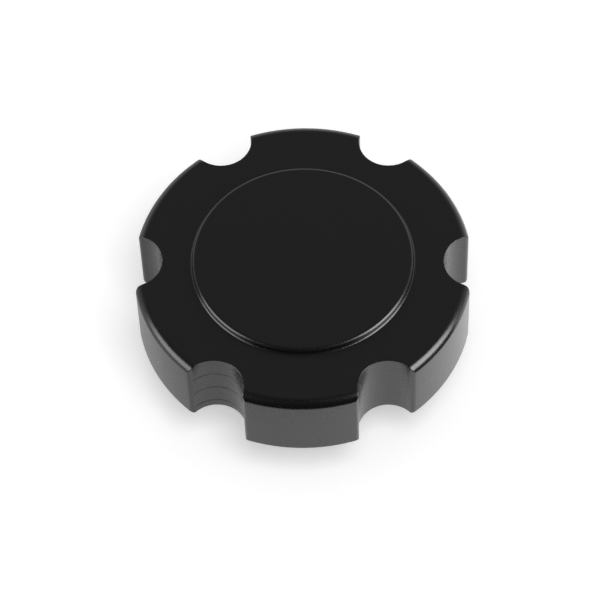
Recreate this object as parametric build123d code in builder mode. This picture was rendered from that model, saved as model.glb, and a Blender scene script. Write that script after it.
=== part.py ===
"""Screw-in oil filler cap: a scalloped aluminium knob with a coarse male thread, and its sealing ring.

The frame stands on the end face of the spigot. Z is the axis of the cap and points up to the top of the knob.
All sizes are in millimetres.
"""
import math
import os

from build123d import *

# Knob, turned from round bar
knob_radius = 35.7
knob_height = 17.4
rim_round = 1.9
foot_chamfer = 0.5

# Finger scallops, milled down the full height of the knob with a half-inch cutter
scallop_count = 6
scallop_radius = 6.35
scallop_centre_radius = 36.0
scallop_corner_round = 1.0

# Raised land in the middle of the top, left plain
land_radius = 23.3
land_height = 1.4
land_edge_chamfer = 0.3

# Spigot, with a coarse right-hand thread that runs out into a plain neck under the knob
spigot_length = 15.0
spigot_chamfer = 1.2
thread_radius = 21.0
thread_depth = 2.2
thread_pitch = 4.5
thread_crest_width = 1.3
thread_root_width = 1.0
thread_overcut = 0.2
neck_undercut = 0.3
neck_spare = 0.2

# Hollow turned out of the spigot and the knob to save weight
hollow_radius = 14.5
hollow_roof_thickness = 9.4
hollow_corner_chamfer = 1.2
hollow_mouth_chamfer = 0.6

# Sealing ring, and the face groove round the spigot that holds it proud of the seat
ring_section = 3.5
ring_edge_chamfer = 0.25
ring_stand_proud = 0.7
ring_clearance = 0.1
groove_collar = 1.2
groove_spare_width = 1.1

# Thread section: the cutter's flanks widen the groove from its root to its mouth
thread_root_radius = thread_radius - thread_depth
cutter_radius = thread_radius + thread_overcut
groove_mouth = thread_pitch - thread_crest_width
flank_slope = (groove_mouth - thread_root_width) / 2 / thread_depth
cutter_half_width = groove_mouth / 2 + flank_slope * thread_overcut

# Heights and radii that follow from the sizes above
seat_z = spigot_length
knob_top_z = seat_z + knob_height
land_top_z = knob_top_z + land_height
hollow_roof_z = knob_top_z - hollow_roof_thickness
neck_radius = thread_root_radius - neck_undercut
neck_height = 2 * (cutter_half_width + neck_spare)
neck_bottom_z = seat_z - neck_height
ring_groove_inner_radius = thread_radius + groove_collar
ring_groove_outer_radius = ring_groove_inner_radius + ring_section + groove_spare_width
ring_groove_roof_z = seat_z + ring_section - ring_stand_proud + ring_clearance

# The groove's turns go up from below the spigot's end to the middle of the neck
thread_run_out_z = seat_z - neck_height / 2
thread_turns = math.ceil((thread_run_out_z + cutter_half_width) / thread_pitch)
turn_starts = [thread_run_out_z - turn * thread_pitch for turn in range(1, thread_turns + 1)]


def turned_corner(body, radius, height):
    """Edges of the one turned corner at this radius and height."""
    circles = body.edges().filter_by(GeomType.CIRCLE)
    at_height = circles.filter_by(lambda edge: math.isclose(edge.center().Z, height, abs_tol=1e-4))
    return at_height.filter_by(lambda edge: math.isclose(edge.radius, radius, abs_tol=1e-4))


# One turn of the thread groove
with BuildPart() as groove_turn:
    with BuildLine():
        Helix(pitch=thread_pitch, height=thread_pitch, radius=thread_root_radius)
    with BuildSketch(Plane.XZ):
        with BuildLine():
            Polyline(
                (thread_root_radius, -thread_root_width / 2),
                (cutter_radius, -cutter_half_width),
                (cutter_radius, cutter_half_width),
                (thread_root_radius, thread_root_width / 2),
                close=True,
            )
        make_face()
    sweep(is_frenet=True)

# Outline of the grip seen from above: a circle with six round bites and rounded corners
with BuildSketch() as grip_outline:
    Circle(knob_radius)
    with PolarLocations(scallop_centre_radius, scallop_count):
        Circle(scallop_radius, mode=Mode.SUBTRACT)
    fillet(grip_outline.vertices(), radius=scallop_corner_round)

# Cap body: the turned blank, then the milled scallops, then the thread
with BuildPart() as cap_body:
    with BuildSketch(Plane.YZ):
        with BuildLine():
            Polyline(
                (0, hollow_roof_z),
                (hollow_radius, hollow_roof_z),
                (hollow_radius, 0),
                (thread_radius, 0),
                (thread_radius, neck_bottom_z),
                (neck_radius, neck_bottom_z),
                (neck_radius, seat_z),
                (ring_groove_inner_radius, seat_z),
                (ring_groove_inner_radius, ring_groove_roof_z),
                (ring_groove_outer_radius, ring_groove_roof_z),
                (ring_groove_outer_radius, seat_z),
                (knob_radius, seat_z),
                (knob_radius, knob_top_z),
                (land_radius, knob_top_z),
                (land_radius, land_top_z),
                (0, land_top_z),
                close=True,
            )
        make_face()
    revolve(axis=Axis.Z)
    fillet(turned_corner(cap_body, knob_radius, knob_top_z), radius=rim_round)
    chamfer(turned_corner(cap_body, knob_radius, seat_z), length=foot_chamfer)
    chamfer(turned_corner(cap_body, land_radius, land_top_z), length=land_edge_chamfer)
    chamfer(turned_corner(cap_body, hollow_radius, hollow_roof_z), length=hollow_corner_chamfer)
    chamfer(turned_corner(cap_body, hollow_radius, 0), length=hollow_mouth_chamfer)
    chamfer(turned_corner(cap_body, thread_radius, 0), length=spigot_chamfer)

    with BuildSketch(Plane.XY.offset(seat_z)):
        Circle(knob_radius + scallop_radius)
        add(grip_outline.sketch, mode=Mode.SUBTRACT)
    extrude(amount=knob_height, mode=Mode.SUBTRACT)

    with Locations(*[(0, 0, start) for start in turn_starts]):
        add(groove_turn.part, mode=Mode.SUBTRACT)

cap_body.part.label = "cap_body"

# Sealing ring: square-cut rubber that grips the inner wall of its groove
with BuildPart() as seal_ring:
    with BuildSketch(Plane.XZ) as ring_profile:
        with Locations((ring_groove_inner_radius + ring_clearance, ring_groove_roof_z - ring_clearance)):
            Rectangle(ring_section, ring_section, align=(Align.MIN, Align.MAX))
        chamfer(ring_profile.vertices(), length=ring_edge_chamfer)
    revolve(axis=Axis.Z)

seal_ring.part.label = "seal_ring"

os.makedirs("parts", exist_ok=True)
for piece in (cap_body, seal_ring):
    export_step(piece.part, f"parts/{piece.part.label}.step")
    print(piece.part.label, "valid", piece.part.is_valid, "volume", round(piece.part.volume, 1))
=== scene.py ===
# %% [markdown]
# # A black anodised oil filler cap
#
# The real cap is machined from one bar of aluminium: a flat knob with six finger scallops, a raised round
# land in the middle of its top, and a hollow threaded spigot underneath, with a square-cut rubber ring
# round the spigot's root. It is then bead blasted and anodised black. The forms are already right in the
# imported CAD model, so this lesson is about what the eye reads as a real machined part: edges that are
# broken and not razor sharp, the faint marks of the cutters under the black film, and the light of a small
# photo studio.
#
# Lengths of the cap are written in millimetres. The knob's radius and the height of its top come from the
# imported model's own box, so that what is built here fits it.

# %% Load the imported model
import math

import bmesh
import bpy
from mathutils import Matrix, Quaternion, Vector


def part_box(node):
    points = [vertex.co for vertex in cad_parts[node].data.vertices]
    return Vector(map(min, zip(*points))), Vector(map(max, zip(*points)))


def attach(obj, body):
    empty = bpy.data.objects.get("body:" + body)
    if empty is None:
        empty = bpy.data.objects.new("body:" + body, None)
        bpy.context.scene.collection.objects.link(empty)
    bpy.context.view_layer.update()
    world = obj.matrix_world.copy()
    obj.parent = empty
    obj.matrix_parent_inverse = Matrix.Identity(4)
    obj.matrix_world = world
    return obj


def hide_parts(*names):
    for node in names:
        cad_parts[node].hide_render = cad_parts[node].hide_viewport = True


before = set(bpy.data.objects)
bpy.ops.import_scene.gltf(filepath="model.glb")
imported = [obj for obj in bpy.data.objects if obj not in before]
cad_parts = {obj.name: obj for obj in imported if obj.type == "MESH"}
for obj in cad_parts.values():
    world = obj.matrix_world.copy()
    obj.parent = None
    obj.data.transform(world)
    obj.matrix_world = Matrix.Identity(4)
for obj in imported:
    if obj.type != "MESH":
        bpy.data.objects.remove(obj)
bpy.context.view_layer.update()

MM = 0.001
KNOB_HEIGHT = 17.4
LAND_HEIGHT = 1.4

cap_box_low, cap_box_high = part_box("cap_body")
knob_radius = cap_box_high.y / MM
top_z = cap_box_high.z / MM - LAND_HEIGHT
seat_z = top_z - KNOB_HEIGHT
print("nodes:", sorted(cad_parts))
print("knob: radius", round(knob_radius, 2), "from", round(seat_z, 2), "up to", round(top_z, 2), "mm")

# %% [markdown]
# ## Colours and nodes
#
# A colour is easiest to judge as an sRGB hex value, the way a paint chip or a photo editor gives it, but
# shader sockets hold linear light. One function turns one into the other. A second adds a shader node, sets
# its properties and links its inputs in one go, so that each material below reads as a list of its layers.
# The two that follow it name the steps that come back most: a range of values turned into levels, and a
# sum.


# %% Helpers for materials
def linear(hex_colour, alpha=1.0):
    """The linear RGBA of an sRGB hex colour such as #0c0c0d."""
    channels = [int(hex_colour[start:start + 2], 16) / 255 for start in (1, 3, 5)]
    light = [c / 12.92 if c <= 0.04045 else ((c + 0.055) / 1.055) ** 2.4 for c in channels]
    return (*light, alpha)


def add_node(tree, kind, inputs=None, **settings):
    """Adds one node. inputs maps a socket's name or number to a value, or to the output that feeds it."""
    new = tree.nodes.new(kind)
    for name, value in settings.items():
        setattr(new, name, value)
    for socket, value in (inputs or {}).items():
        if isinstance(value, bpy.types.NodeSocket):
            tree.links.new(value, new.inputs[socket])
        else:
            new.inputs[socket].default_value = value
    return new


def levels(tree, value, across, between=(0.0, 1.0), shape="LINEAR"):
    """Turns a value that goes across one range into levels. SMOOTHSTEP eases both ends."""
    inputs = {"Value": value, "From Min": across[0], "From Max": across[1],
              "To Min": between[0], "To Max": between[1]}
    return add_node(tree, "ShaderNodeMapRange", inputs, interpolation_type=shape).outputs[0]


def reckon(tree, operation, *values):
    """One sum on numbers or outputs."""
    return add_node(tree, "ShaderNodeMath", dict(enumerate(values)), operation=operation).outputs[0]


def empty_tree(owner):
    """The owner's node tree, with nothing in it."""
    owner.use_nodes = True
    owner.node_tree.nodes.clear()
    return owner.node_tree


print("black film #0c0c0d is", [round(c, 4) for c in linear("#0c0c0d")])

# %% [markdown]
# ## The camera
#
# The cap was photographed from the front and well above, with a long lens from about 0.66 m, so the circle
# of the knob shows as an ellipse with hardly any perspective. The angles, the distance and the lens come
# from fitting the knob's circle, its six scallops and its foot to the photograph. The camera was held about
# two degrees off level, which is the roll. It aims at a point in the plane of the knob's top, a little in
# front of the axis.

# %% Place the camera
PHOTO_PIXELS = 600
VIEW_AZIMUTH = 2.898
VIEW_ELEVATION = 56.393
VIEW_DISTANCE = 657.997 * MM
VIEW_ROLL = -2.415
AIM_FROM_AXIS = Vector((-0.446, -9.886, 0)) * MM
LENS_MM = 189.29
SENSOR_MM = 36.0

around = math.radians(VIEW_AZIMUTH)
above = math.radians(VIEW_ELEVATION)
to_camera = Vector((math.sin(around) * math.cos(above), -math.cos(around) * math.cos(above),
                    math.sin(above)))
knob_top = Vector((0, 0, top_z)) * MM

camera_data = bpy.data.cameras.new("photo_camera")
camera_data.sensor_width = SENSOR_MM
camera_data.lens = LENS_MM
camera = bpy.data.objects.new("photo_camera", camera_data)
bpy.context.scene.collection.objects.link(camera)
camera.location = knob_top + AIM_FROM_AXIS + to_camera * VIEW_DISTANCE
camera.rotation_mode = "QUATERNION"
level_view = (-to_camera).to_track_quat("-Z", "Y")
camera.rotation_quaternion = level_view @ Quaternion((0, 0, 1), math.radians(VIEW_ROLL))
bpy.context.scene.camera = camera

frame_width = VIEW_DISTANCE * SENSOR_MM / LENS_MM
print("the frame is", round(frame_width / MM, 1), "mm wide at the cap, so a pixel is",
      round(frame_width / MM / PHOTO_PIXELS, 3), "mm")

# %% [markdown]
# ## The floor
#
# The cap stands on a white sweep. A plain white diffuse floor would do, but its brightness would fade away
# from the lamps and tint the background grey. So the floor keeps its diffuse colour, which takes the cap's
# soft shadow, and it also glows: for the camera weakly near the cap, where the shadow has to show, and at
# full white further out, where nothing but background is seen; for mirror rays more and more from left to
# right, as the walls of the cap show it. From below it is clear, so the underside can be seen, and it lies
# a hair under the cap, because two faces in one place would fight for the same rays.

# %% Lay the floor
FLOOR_RADIUS = 4.0
FLOOR_SIDES = 96
FLOOR_WHITE = "#e6e6e6"
FLOOR_GAP = 0.05 * MM
GLOW_REACH = (0.12, 0.5)
GLOW_LEVELS = (0.42, 1.0)
MIRROR_REACH = (-70 * MM, 50 * MM)
MIRROR_LEVELS = (0.0, 0.6)


def by_ray(tree, camera, mirror, other):
    """One level for camera rays, one for glossy and transmission rays, and one for rays that light things."""
    path = add_node(tree, "ShaderNodeLightPath")
    mirrored = reckon(tree, "MAXIMUM", path.outputs["Is Glossy Ray"], path.outputs["Is Transmission Ray"])
    unseen = add_node(tree, "ShaderNodeMix", {0: mirrored, 2: other, 3: mirror}).outputs[0]
    seen = path.outputs["Is Camera Ray"]
    return add_node(tree, "ShaderNodeMix", {0: seen, 2: unseen, 3: camera}).outputs[0]


def white_sweep():
    """White paper: diffuse near the cap, glowing to full white further out, and clear from below."""
    paper = bpy.data.materials.new("white_sweep")
    tree = empty_tree(paper)
    place = add_node(tree, "ShaderNodeTexCoord").outputs["Object"]
    distance = add_node(tree, "ShaderNodeVectorMath", {0: place}, operation="LENGTH").outputs["Value"]
    glow = levels(tree, distance, GLOW_REACH, GLOW_LEVELS, "SMOOTHSTEP")
    across = add_node(tree, "ShaderNodeSeparateXYZ", {0: place}).outputs["X"]
    mirrored = levels(tree, across, MIRROR_REACH, MIRROR_LEVELS)
    light = add_node(tree, "ShaderNodeEmission", {"Strength": by_ray(tree, glow, mirrored, 0.0)})
    matt = add_node(tree, "ShaderNodeBsdfDiffuse", {"Color": linear(FLOOR_WHITE)})
    both = add_node(tree, "ShaderNodeAddShader", {0: matt.outputs[0], 1: light.outputs[0]})
    below = add_node(tree, "ShaderNodeNewGeometry").outputs["Backfacing"]
    clear = add_node(tree, "ShaderNodeBsdfTransparent")
    sheet = add_node(tree, "ShaderNodeMixShader", {0: below, 1: both.outputs[0], 2: clear.outputs[0]})
    add_node(tree, "ShaderNodeOutputMaterial", {"Surface": sheet.outputs[0]})
    return paper


def stage_piece(name, shape, material):
    """Puts a bmesh on the stage round the object, where it isn't part of the object."""
    mesh = bpy.data.meshes.new(name)
    shape.to_mesh(mesh)
    shape.free()
    mesh.materials.append(material)
    piece = bpy.data.objects.new(name, mesh)
    bpy.context.scene.collection.objects.link(piece)
    return piece


sweep = bmesh.new()
bmesh.ops.create_circle(sweep, cap_ends=True, segments=FLOOR_SIDES, radius=FLOOR_RADIUS,
                        matrix=Matrix.Translation((0, 0, -FLOOR_GAP)))
floor = stage_piece("floor", sweep, white_sweep())
print("floor of", FLOOR_RADIUS, "m radius, normal", tuple(floor.data.polygons[0].normal))

# %% [markdown]
# ## The studio round the cap
#
# A black satin part has almost no colour of its own: what the eye sees is the room in it. In the photograph
# the flat top is very dark and even, because it mirrors the dim ceiling behind the cap, and the walls are
# lighter, because they mirror the white floor. So the world is white to the camera and a plain soft fill to
# the rays that light things. To mirror rays it is a dim room, which gets lighter behind the cap and most of
# all low down, as a backdrop does. Below the floor it is lit too, for views from there.
#
# The world's coordinates are directions of length 1, so each reach below is a share of the way to one side:
# Z is 0 at the horizon and 1 straight up, and Y is 1 straight behind the cap.

# %% Build the world
WHITE = "#ffffff"
FILL = 0.48
CEILING_REACH = (-0.2, 0.5)
CEILING_LEVELS = (0.016, 0.15)
BACKDROP_HEIGHT = (0.85, 0.0)
BACKDROP_REACH = (0.0, 0.8)
BACKDROP_LEVELS = (0.0, 1.0)
BELOW_DEPTH = (-0.1, -0.6)


def studio_world():
    """White to the camera, an even fill for light, and a dim room with a lit backdrop to mirror rays."""
    world = bpy.data.worlds.new("studio")
    bpy.context.scene.world = world
    tree = empty_tree(world)
    place = add_node(tree, "ShaderNodeTexCoord").outputs["Generated"]
    way = add_node(tree, "ShaderNodeSeparateXYZ", {0: place}).outputs
    ceiling = levels(tree, way["Y"], CEILING_REACH, CEILING_LEVELS, "SMOOTHSTEP")
    low = levels(tree, way["Z"], BACKDROP_HEIGHT, BACKDROP_LEVELS, "SMOOTHSTEP")
    behind = levels(tree, way["Y"], BACKDROP_REACH, shape="SMOOTHSTEP")
    backdrop = reckon(tree, "MULTIPLY", low, behind)
    below = levels(tree, way["Z"], BELOW_DEPTH, shape="SMOOTHSTEP")
    room = reckon(tree, "ADD", reckon(tree, "ADD", ceiling, backdrop), below)
    strength = by_ray(tree, 1.0, room, FILL)
    sky = add_node(tree, "ShaderNodeBackground", {"Color": linear(WHITE), "Strength": strength})
    add_node(tree, "ShaderNodeOutputWorld", {"Surface": sky.outputs[0]})


studio_world()
bpy.context.scene.view_settings.view_transform = "Standard"
print("world: fill", FILL, "ceiling", CEILING_LEVELS, "backdrop", BACKDROP_LEVELS)

# %% [markdown]
# ## Lamps
#
# Three lamps do three jobs. A soft lamp high over the camera lights the paper and throws the short shadow
# that hugs the cap's front. It is kept out of the mirror rays, because the photograph shows no highlight
# from there. A big soft box on the right and a weaker one on the left do the opposite: they light nothing,
# and show only in what turns towards them, which is the round of the rim, the edge of the land and the
# walls at the sides.

# %% Hang the lamps
LAMP_DISTANCE = 0.7


def soft_box(name, azimuth, elevation, wide, high, radiance):
    """An area lamp that fills wide by high degrees of the cap's sky. Azimuth is from +X towards +Y."""
    turn = math.radians(azimuth)
    lift = math.radians(elevation)
    flat = math.cos(lift)
    direction = Vector((math.cos(turn) * flat, math.sin(turn) * flat, math.sin(lift)))
    lamp = bpy.data.lights.new(name, "AREA")
    lamp.shape = "RECTANGLE"
    lamp.size = 2 * LAMP_DISTANCE * math.tan(math.radians(wide / 2))
    lamp.size_y = 2 * LAMP_DISTANCE * math.tan(math.radians(high / 2))
    lamp.energy = radiance * math.pi * lamp.size * lamp.size_y
    box = bpy.data.objects.new(name, lamp)
    bpy.context.scene.collection.objects.link(box)
    box.location = knob_top + direction * LAMP_DISTANCE
    box.rotation_mode = "QUATERNION"
    box.rotation_quaternion = (-direction).to_track_quat("-Z", "Y")
    box.visible_camera = False
    print(name, "is", round(lamp.size, 2), "by", round(lamp.size_y, 2), "m,", round(lamp.energy, 1), "W")
    return box


key = soft_box("paper_key", azimuth=-72, elevation=63.5, wide=22, high=22, radiance=9.8)
key.visible_glossy = False
right = soft_box("right_soft_box", azimuth=-18, elevation=28, wide=37, high=50, radiance=7.2)
right.visible_diffuse = False
left = soft_box("left_soft_box", azimuth=197, elevation=20, wide=42, high=46, radiance=4.0)
left.visible_diffuse = False

# %% [markdown]
# ## A black flag
#
# In the photograph a dark band runs between the highlight on the rim and the wall below it, and the front
# lobe's rim is dark all over. Only black card near the cap does that: it hides the far floor from the rim,
# and leaves the near floor to the walls. It is a low band that stands round the front and the right side,
# and only mirror rays see it.

# %% Stand the flag round the cap
FLAG_RADIUS = 66
FLAG_FOOT = 0.5
FLAG_HEIGHT = 32
FLAG_STARTS = 221
FLAG_TURNS = 128
FLAG_STEPS = 60
FLAG_BLACK = "#050505"


def turned(angle, length=1.0):
    """A flat vector of this length at this angle."""
    return Vector((length * math.cos(angle), length * math.sin(angle), 0))


def black_card():
    """Matt black card."""
    card = bpy.data.materials.new("black_card")
    tree = empty_tree(card)
    matt = add_node(tree, "ShaderNodeBsdfDiffuse", {"Color": linear(FLAG_BLACK)})
    add_node(tree, "ShaderNodeOutputMaterial", {"Surface": matt.outputs[0]})
    return card


def flag_band():
    """An upright line, spun part of the way round the cap."""
    band = bmesh.new()
    foot = band.verts.new((turned(math.radians(FLAG_STARTS), FLAG_RADIUS) + Vector((0, 0, FLAG_FOOT))) * MM)
    head = band.verts.new(foot.co + Vector((0, 0, FLAG_HEIGHT)) * MM)
    upright = band.edges.new((foot, head))
    bmesh.ops.spin(band, geom=[foot, head, upright], cent=(0, 0, 0), axis=(0, 0, 1),
                   angle=math.radians(FLAG_TURNS), steps=FLAG_STEPS)
    return band


flag = stage_piece("black_flag", flag_band(), black_card())
flag.visible_camera = False
flag.visible_diffuse = False
flag.visible_shadow = False
print("flag:", len(flag.data.polygons), "faces")

# %% [markdown]
# ## The skin of the knob
#
# The CAD solid has the knob's true form, with razor edges where the scallops cut through the top. On the
# real cap every edge is broken, and it is these narrow rounds that catch the light and draw the shape. So
# the knob gets a new skin. It starts as a flat grid. One way along it goes round the outline, lobe and
# scallop in turn; the other way goes from the foot up the wall, over the rim and the land to the middle.
# Each point of the grid is then moved to its place by a few plain rules: the turned profile gives a height
# for each radius, and the broken edge lowers it by a quarter circle near a scallop.
#
# The outline comes first. Each of its points knows its place, its way out of the wall, and the share of the
# edge break, which is 0 on a lobe and grows to 1 round the corner into a scallop. It also knows its scallop
# and the way out from the axis to its place on the round land, so that the grid's lines don't bunch up
# there.

# %% Draw the outline of the grip
SCALLOPS = 6
SCALLOP_RADIUS = 6.35
SCALLOP_CENTRE = 36.0
CORNER_ROUND = 1.0
LOBE_STEPS = 12
CORNER_STEPS = 10
HALF_SCALLOP_STEPS = 20

sixth_turn = 2 * math.pi / SCALLOPS


def smooth(share):
    """Eases 0 to 1."""
    return share * share * (3 - 2 * share)


def outline_of_one_sixth():
    """Points round one scallop on +X, from lobe to lobe: place, outward way, share of edge break."""
    reach = knob_radius - CORNER_ROUND
    apart = SCALLOP_RADIUS + CORNER_ROUND
    corner = math.acos((reach ** 2 + SCALLOP_CENTRE ** 2 - apart ** 2) / (2 * reach * SCALLOP_CENTRE))
    scallop = Vector((SCALLOP_CENTRE, 0, 0))
    inward = scallop - turned(-corner, reach)
    meets = math.atan2(inward.y, inward.x)
    lobe = sixth_turn / 2
    half = []
    for step in range(LOBE_STEPS):
        angle = -lobe + (lobe - corner) * step / LOBE_STEPS
        half.append((turned(angle, knob_radius), turned(angle), 0.0))
    for step in range(CORNER_STEPS):
        angle = -corner + (meets + corner) * step / CORNER_STEPS
        place = turned(-corner, reach) + turned(angle, CORNER_ROUND)
        half.append((place, turned(angle), smooth(step / CORNER_STEPS)))
    for step in range(HALF_SCALLOP_STEPS + 1):
        angle = meets * (1 - step / HALF_SCALLOP_STEPS)
        half.append((scallop - turned(angle, SCALLOP_RADIUS), turned(angle), 1.0))
    flip = Vector((1, -1, 1))
    return half + [(place * flip, way * flip, share) for place, way, share in half[-2:0:-1]]


def whole_outline():
    """Six sixths, each turned to its scallop."""
    sixth = outline_of_one_sixth()
    places = [place for place, way, share in sixth]
    places.append(Matrix.Rotation(sixth_turn, 3, "Z") @ places[0])
    steps = [(after - before).length for before, after in zip(places, places[1:])]
    points = []
    for scallop in range(SCALLOPS):
        middle = sixth_turn * scallop
        spin = Matrix.Rotation(middle, 3, "Z")
        for i, (place, way, share) in enumerate(sixth):
            along = sum(steps[:i]) / sum(steps)
            inner = turned(middle + (along - 0.5) * sixth_turn)
            points.append({"place": spin @ place, "way": spin @ way, "share": share, "inner": inner,
                           "scallop": scallop})
    return points


outline = whole_outline()
bottom = min(point["place"].length for point in outline)
print("outline:", len(outline), "points, down to a radius of", round(bottom, 3), "mm in the scallops")

# %% [markdown]
# The rules for the heights come next, in millimetres. The rim's round is a quarter circle of 1.9 mm turned
# on the lathe, and the foot has a bevel of 0.5 mm. The scallops' edges were broken after milling, by about
# 0.1 mm. At the corners the turned round and the broken edge run into each other. Each rule for a row takes
# a point of the outline and gives that row's place beside it.

# %% Rules for the heights
RIM_ROUND = 1.9
FOOT_CHAMFER = 0.5
TOP_BREAK = 0.12
FOOT_BREAK = 0.1
EDGE_ROWS_END = 0.45
LAND_RADIUS = 23.3
LAND_FILLET = 0.5
DECK_MARGIN = 0.3

deck_end = LAND_RADIUS + LAND_FILLET + DECK_MARGIN


def quarter_drop(inside, radius):
    """How far a quarter circle has dropped at this distance inside its edge."""
    short = max(radius - inside, 0.0)
    return radius - math.sqrt(max(radius ** 2 - short ** 2, 0.0))


def top_height(spot, inside, share):
    """Height of the skin's top at a spot that lies this far inside the outline."""
    rim = quarter_drop(knob_radius - spot.length, RIM_ROUND)
    return top_z - rim - share * quarter_drop(inside, TOP_BREAK)


def foot_height(spot, inside, share):
    """Height of the skin's lower edge."""
    bevel = max(spot.length - (knob_radius - FOOT_CHAMFER), 0.0)
    return seat_z + bevel + share * quarter_drop(inside, FOOT_BREAK)


def under(inside):
    """A row on the foot, this far inside the outline."""
    def place(point):
        spot = point["place"] - point["way"] * inside
        return Vector((spot.x, spot.y, foot_height(spot, inside, point["share"])))
    return place


def wall(margin, share):
    """A row on the wall, at a share of the way between a margin above the foot and a margin below the top."""
    def place(point):
        spot = point["place"]
        low = foot_height(spot, 0, point["share"]) + margin
        high = top_height(spot, 0, point["share"]) - margin
        return Vector((spot.x, spot.y, low + (high - low) * share))
    return place


def brow(inside):
    """A row over the broken edge, this far inside the outline."""
    def place(point):
        spot = point["place"] - point["way"] * inside
        return Vector((spot.x, spot.y, top_height(spot, inside, point["share"])))
    return place


def deck(inside):
    """A row on the flat top, on the way from the broken edge to the land."""
    def place(point):
        outer = point["place"] - point["way"] * EDGE_ROWS_END
        inner = point["inner"] * deck_end
        full = knob_radius - EDGE_ROWS_END - deck_end
        spot = outer.lerp(inner, min((inside - EDGE_ROWS_END) / full, 1.0))
        return Vector((spot.x, spot.y, top_height(spot, inside, 0)))
    return place


def land(radius, height):
    """A row on the land."""
    def place(point):
        spot = point["inner"] * radius
        return Vector((spot.x, spot.y, top_z + height))
    return place


print("the rim's round drops", RIM_ROUND, "mm in all and", round(quarter_drop(TOP_BREAK, RIM_ROUND), 2),
      "mm at", TOP_BREAK, "mm from the wall")

# %% [markdown]
# The land stands 1.4 mm above the top. The lathe tool's nose left a fillet of 0.5 mm at its foot, and its
# edge is rounded by 0.7 mm. These two narrow rounds are the double line of light that runs round the land
# in the photograph. The rows lie close together where the profile bends and far apart where it is flat.

# %% List the rows from the foot to the middle
LAND_BREAK = 0.7
TURN_STEPS = 6
FOOT_INSETS = (0.6, 0.5, 0.35, 0.2, 0.12, 0.06, 0.02)
WALL_MARGIN = 0.25
WALL_SHARES = (0.0, 0.33, 0.67, 1.0)
DECK_INSETS = (0.45, 0.6, 0.75, 0.9, 1.05, 1.2, 1.35, 1.5, 1.65, 1.8, 1.95, 2.2, 2.6, 4.0, 6.5, 9.0)
LAND_RADII = (22.4, 20.0, 12.0, 4.0)
MARKED_EDGE_ROWS = 2

quarter = [math.pi / 2 * step / TURN_STEPS for step in range(TURN_STEPS + 1)]
wall_rows = [under(inside) for inside in FOOT_INSETS]
wall_rows += [wall(0.0, 0.0)]
wall_rows += [wall(WALL_MARGIN, share) for share in WALL_SHARES]
top_rows = [brow(TOP_BREAK * (1 - math.cos(angle))) for angle in quarter]
top_rows += [deck(inside) for inside in DECK_INSETS]
top_rows += [deck(knob_radius)]
for angle in quarter:
    top_rows += [land(LAND_RADIUS + LAND_FILLET * (1 - math.sin(angle)),
                      LAND_FILLET * (1 - math.cos(angle)))]
for angle in quarter:
    top_rows += [land(LAND_RADIUS - LAND_BREAK * (1 - math.cos(angle)),
                      LAND_HEIGHT - LAND_BREAK * (1 - math.sin(angle)))]
top_rows += [land(radius, LAND_HEIGHT) for radius in LAND_RADII]
rows = wall_rows + top_rows
marked_rows = len(wall_rows) + MARKED_EDGE_ROWS
print(len(rows), "rows by", len(outline), "points")

# %% [markdown]
# The skin covers only what the scallops and the lathe shaped from above. The ring groove, the neck, the
# thread and the hollow are taken from a copy of the CAD solid as they are: its doubles are merged first,
# its outer faces are deleted, and the flat seat between the two is filled. A value on each point of the
# scallops' walls says how clearly the cutter's marks show there, which the finish reads later.

# %% Make the dressed cap
GROOVE_RADIUS = 26.8
GROOVE_SLACK = 0.01
LEVEL_SLACK = 1.0
MERGE_WITHIN = 0.001 * MM
MARK_ON_SCALLOPS = (0.15, 0.2, 0.1, 0.2, 1.0, 0.1)
TURNED_SHARP = math.radians(12)
SKIN_SHARP = math.radians(30)


def is_outer(face):
    """True for the CAD faces that the new skin takes the place of."""
    radii = [math.hypot(vert.co.x, vert.co.y) / MM for vert in face.verts]
    outside = min(radii) > GROOVE_RADIUS - GROOVE_SLACK and max(radii) > GROOVE_RADIUS + GROOVE_SLACK
    return outside or face.calc_center_median().z / MM > top_z - LEVEL_SLACK


def mark_sharp(edges, angle):
    """Keeps the shading apart across edges that turn by more than this angle."""
    for edge in edges:
        edge.smooth = len(edge.link_faces) == 2 and edge.calc_face_angle() < angle


def keep_hidden_part(shape, cad_mesh):
    """The CAD solid without its outer faces."""
    shape.from_mesh(cad_mesh)
    bmesh.ops.remove_doubles(shape, verts=shape.verts, dist=MERGE_WITHIN)
    bmesh.ops.delete(shape, geom=[face for face in shape.faces if is_outer(face)], context="FACES")
    mark_sharp(shape.edges, TURNED_SHARP)


def lay_skin(shape):
    """A flat grid, moved to the outline and the rows, with the clearness of the cutter's marks on it."""
    mark = shape.verts.layers.float.new("cutter_mark")
    flat = bmesh.ops.create_grid(shape, x_segments=len(outline), y_segments=len(rows) - 1, size=1.0)
    grid = flat["verts"]
    for vert in grid:
        point = outline[round((vert.co.x + 1) / 2 * len(outline)) % len(outline)]
        row = round((vert.co.y + 1) / 2 * (len(rows) - 1))
        vert.co = rows[row](point) * MM
        if row < marked_rows and point["share"] == 1.0:
            vert[mark] = MARK_ON_SCALLOPS[point["scallop"]]
    bmesh.ops.remove_doubles(shape, verts=grid, dist=MERGE_WITHIN)
    skin_verts = [vert for vert in grid if vert.is_valid]
    mark_sharp({edge for vert in skin_verts for edge in vert.link_edges}, SKIN_SHARP)


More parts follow.
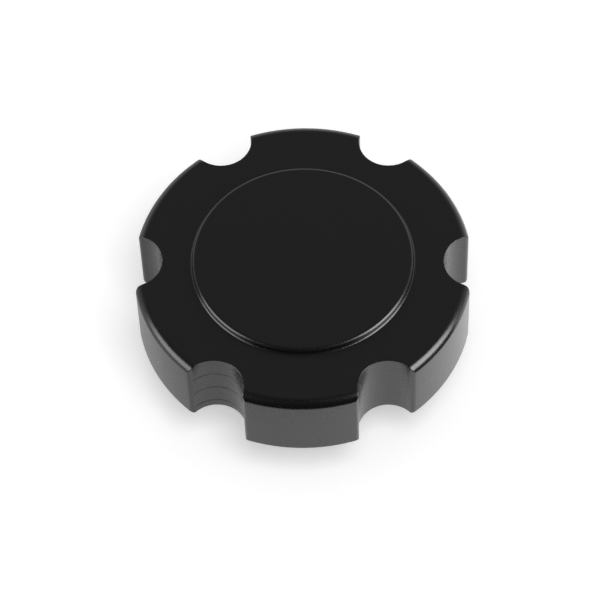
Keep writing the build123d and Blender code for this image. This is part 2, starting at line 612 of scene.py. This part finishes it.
def close_openings(shape):
    """Fills the flat seat between groove and skin, and the middle of the land."""
    rims = [edge for edge in shape.edges if edge.is_boundary]
    seat = [edge for edge in rims if edge.verts[0].co.z < (seat_z + LEVEL_SLACK) * MM]
    crown = [edge for edge in rims if edge.verts[0].co.z > top_z * MM]
    bmesh.ops.triangle_fill(shape, use_beauty=True, edges=seat)
    bmesh.ops.edgeloop_fill(shape, edges=crown)
    bmesh.ops.recalc_face_normals(shape, faces=shape.faces)
    open_edges = sum(not edge.is_manifold for edge in shape.edges)
    print("seat rim", len(seat), "edges, crown", len(crown), "edges, left open", open_edges)


def dressed_cap(cad_mesh):
    """The skin, the hidden part of the CAD solid and the seat between them, as one closed mesh."""
    shape = bmesh.new()
    keep_hidden_part(shape, cad_mesh)
    lay_skin(shape)
    for face in shape.faces:
        face.smooth = True
    close_openings(shape)
    mesh = bpy.data.meshes.new("dressed_cap")
    shape.to_mesh(mesh)
    shape.free()
    return mesh


cap = bpy.data.objects.new("dressed_cap", dressed_cap(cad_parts["cap_body"].data))
bpy.context.scene.collection.objects.link(cap)
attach(cap, "root")
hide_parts("cap_body")
print("dressed cap:", sum(len(face.vertices) - 2 for face in cap.data.polygons), "triangles")

# %% [markdown]
# ## Black anodised aluminium
#
# Anodising grows a clear, hard film of aluminium oxide on the metal, and black dye fills it. Light that
# gets in is swallowed by the dye, and what comes back is the reflection at the film's surface. The blasted
# metal below makes that surface slightly rough, which spreads the reflection to a satin sheen. So the
# shader is a nearly black dielectric with the oxide's index of about 1.6, and no metal shows through.
#
# Two kinds of marks lie under the film. Blasting left a fine grit everywhere. On the scallops' walls the
# end mill came down in steps of 5.08 mm (0.2 in), and each step left a fine line, clearest on the scallop
# in front on the left. Between the lines the mill's chatter left faint streaks.

# %% Mix the black anodised finish
FILM_BLACK = "#0c0c0d"
OXIDE_IOR = 1.62
SATIN_ROUGHNESS = (0.26, 0.28)
GRIT_SIZE = 0.35 * MM
GRIT_CONTRAST = (0.3, 0.7)
GRIT_DEPTH = 0.005 * MM
GRIT_STRENGTH = 0.02
MILL_STEP = 5.08 * MM
MILL_LINE = 0.32 * MM
MILL_DEPTH = 0.12 * MM
MILL_FADE = 7.0 * MM
MILL_CONTRAST = (0.4, 0.6)
MILL_CLEARNESS = (0.4, 1.0)
MILL_STREAK = 0.9 * MM
LINE_ROUGHENS = 0.4
STREAK_ROUGHENS = 0.12


def height_on(tree, place):
    """Height above the spigot's end."""
    return add_node(tree, "ShaderNodeSeparateXYZ", {0: place}).outputs["Z"]


def cutter_mark(tree):
    """How clearly the cutter's marks show, as the skin's points say."""
    return add_node(tree, "ShaderNodeAttribute", attribute_name="cutter_mark").outputs["Fac"]


def blast_grit(tree, place):
    """Fine even noise of the blasted surface, about 0 to 1."""
    return add_node(tree, "ShaderNodeTexNoise", {"Vector": place, "Scale": 1 / GRIT_SIZE, "Detail": 2.0,
                                                 "Roughness": 0.6}).outputs[0]


def mill_lines(tree, place):
    """1 on the lines that the end mill left at each step down from the top, and 0 between them."""
    depth = reckon(tree, "SUBTRACT", top_z * MM, height_on(tree, place))
    from_line = reckon(tree, "PINGPONG", depth, MILL_STEP / 2)
    line = levels(tree, from_line, (MILL_LINE / 2, 0.0), shape="SMOOTHSTEP")
    patches = add_node(tree, "ShaderNodeTexNoise", {"Vector": place, "Scale": 1 / MILL_FADE, "Detail": 1.0})
    clear = levels(tree, patches.outputs[0], MILL_CONTRAST, MILL_CLEARNESS)
    return reckon(tree, "MULTIPLY", line, reckon(tree, "MULTIPLY", clear, cutter_mark(tree)))


def mill_streaks(tree, place):
    """Faint bands round the scallops' walls, about -0.5 to 0.5, where the end mill chattered."""
    bands = add_node(tree, "ShaderNodeTexNoise", {"W": height_on(tree, place), "Scale": 1 / MILL_STREAK,
                                                  "Detail": 3.0}, noise_dimensions="1D")
    centred = reckon(tree, "SUBTRACT", bands.outputs[0], 0.5)
    return reckon(tree, "MULTIPLY", centred, cutter_mark(tree))


def black_anodised():
    """Satin black anodised aluminium: dyed oxide film over fine blasted and milled metal."""
    finish = bpy.data.materials.new("black_anodised_aluminium")
    tree = empty_tree(finish)
    place = add_node(tree, "ShaderNodeTexCoord").outputs["Object"]
    grit = blast_grit(tree, place)
    lines = mill_lines(tree, place)
    satin = levels(tree, grit, GRIT_CONTRAST, SATIN_ROUGHNESS)
    lined = reckon(tree, "MULTIPLY_ADD", lines, LINE_ROUGHENS, satin)
    streaky = reckon(tree, "MULTIPLY_ADD", mill_streaks(tree, place), STREAK_ROUGHENS, lined)
    grain = add_node(tree, "ShaderNodeBump", {"Height": grit, "Strength": GRIT_STRENGTH,
                                              "Distance": GRIT_DEPTH})
    groove = add_node(tree, "ShaderNodeBump", {"Height": lines, "Strength": 1.0, "Distance": MILL_DEPTH,
                                               "Normal": grain.outputs[0]}, invert=True)
    film = add_node(tree, "ShaderNodeBsdfPrincipled",
                    {"Base Color": linear(FILM_BLACK), "IOR": OXIDE_IOR, "Roughness": streaky,
                     "Normal": groove.outputs[0]})
    add_node(tree, "ShaderNodeOutputMaterial", {"Surface": film.outputs[0]})
    return finish


cap.data.materials.append(black_anodised())
print("finish on the cap:", cap.data.materials[0].name)

# %% [markdown]
# ## Nitrile rubber
#
# The sealing ring is cut from a moulded rubber tube. It is a dark grey that is close to black, duller than
# the anodised metal, with the fine rings of the cut on its flat faces.

# %% Mix the rubber
RUBBER_GREY = "#1b1b1b"
RUBBER_IOR = 1.52
RUBBER_ROUGHNESS = (0.54, 0.66)
SPECK_SIZE = 0.5 * MM
SPECK_CONTRAST = (0.3, 0.7)
CUT_SPACING = 0.18 * MM
CUT_DEPTH = 0.01 * MM
CUT_STRENGTH = 0.3
FLATTEN = (1, 1, 0)


def cut_rings(tree, place):
    """Ridges round the axis, from 0 to 1, that the parting blade left."""
    flat = add_node(tree, "ShaderNodeVectorMath", {0: place, 1: FLATTEN}, operation="MULTIPLY")
    radius = add_node(tree, "ShaderNodeVectorMath", {0: flat.outputs[0]}, operation="LENGTH")
    cuts = reckon(tree, "PINGPONG", radius.outputs["Value"], CUT_SPACING / 2)
    return reckon(tree, "MULTIPLY", cuts, 2 / CUT_SPACING)


def nitrile_rubber():
    """Matt black nitrile rubber, parted off on a lathe."""
    finish = bpy.data.materials.new("nitrile_rubber")
    tree = empty_tree(finish)
    place = add_node(tree, "ShaderNodeTexCoord").outputs["Object"]
    specks = add_node(tree, "ShaderNodeTexNoise", {"Vector": place, "Scale": 1 / SPECK_SIZE, "Detail": 3.0})
    dull = levels(tree, specks.outputs[0], SPECK_CONTRAST, RUBBER_ROUGHNESS)
    relief = add_node(tree, "ShaderNodeBump", {"Height": cut_rings(tree, place), "Strength": CUT_STRENGTH,
                                               "Distance": CUT_DEPTH})
    film = add_node(tree, "ShaderNodeBsdfPrincipled",
                    {"Base Color": linear(RUBBER_GREY), "IOR": RUBBER_IOR, "Roughness": dull,
                     "Normal": relief.outputs[0]})
    add_node(tree, "ShaderNodeOutputMaterial", {"Surface": film.outputs[0]})
    return finish


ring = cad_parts["seal_ring"]
ring.data.materials.clear()
ring.data.materials.append(nitrile_rubber())
print("finish on the ring:", ring.data.materials[0].name)
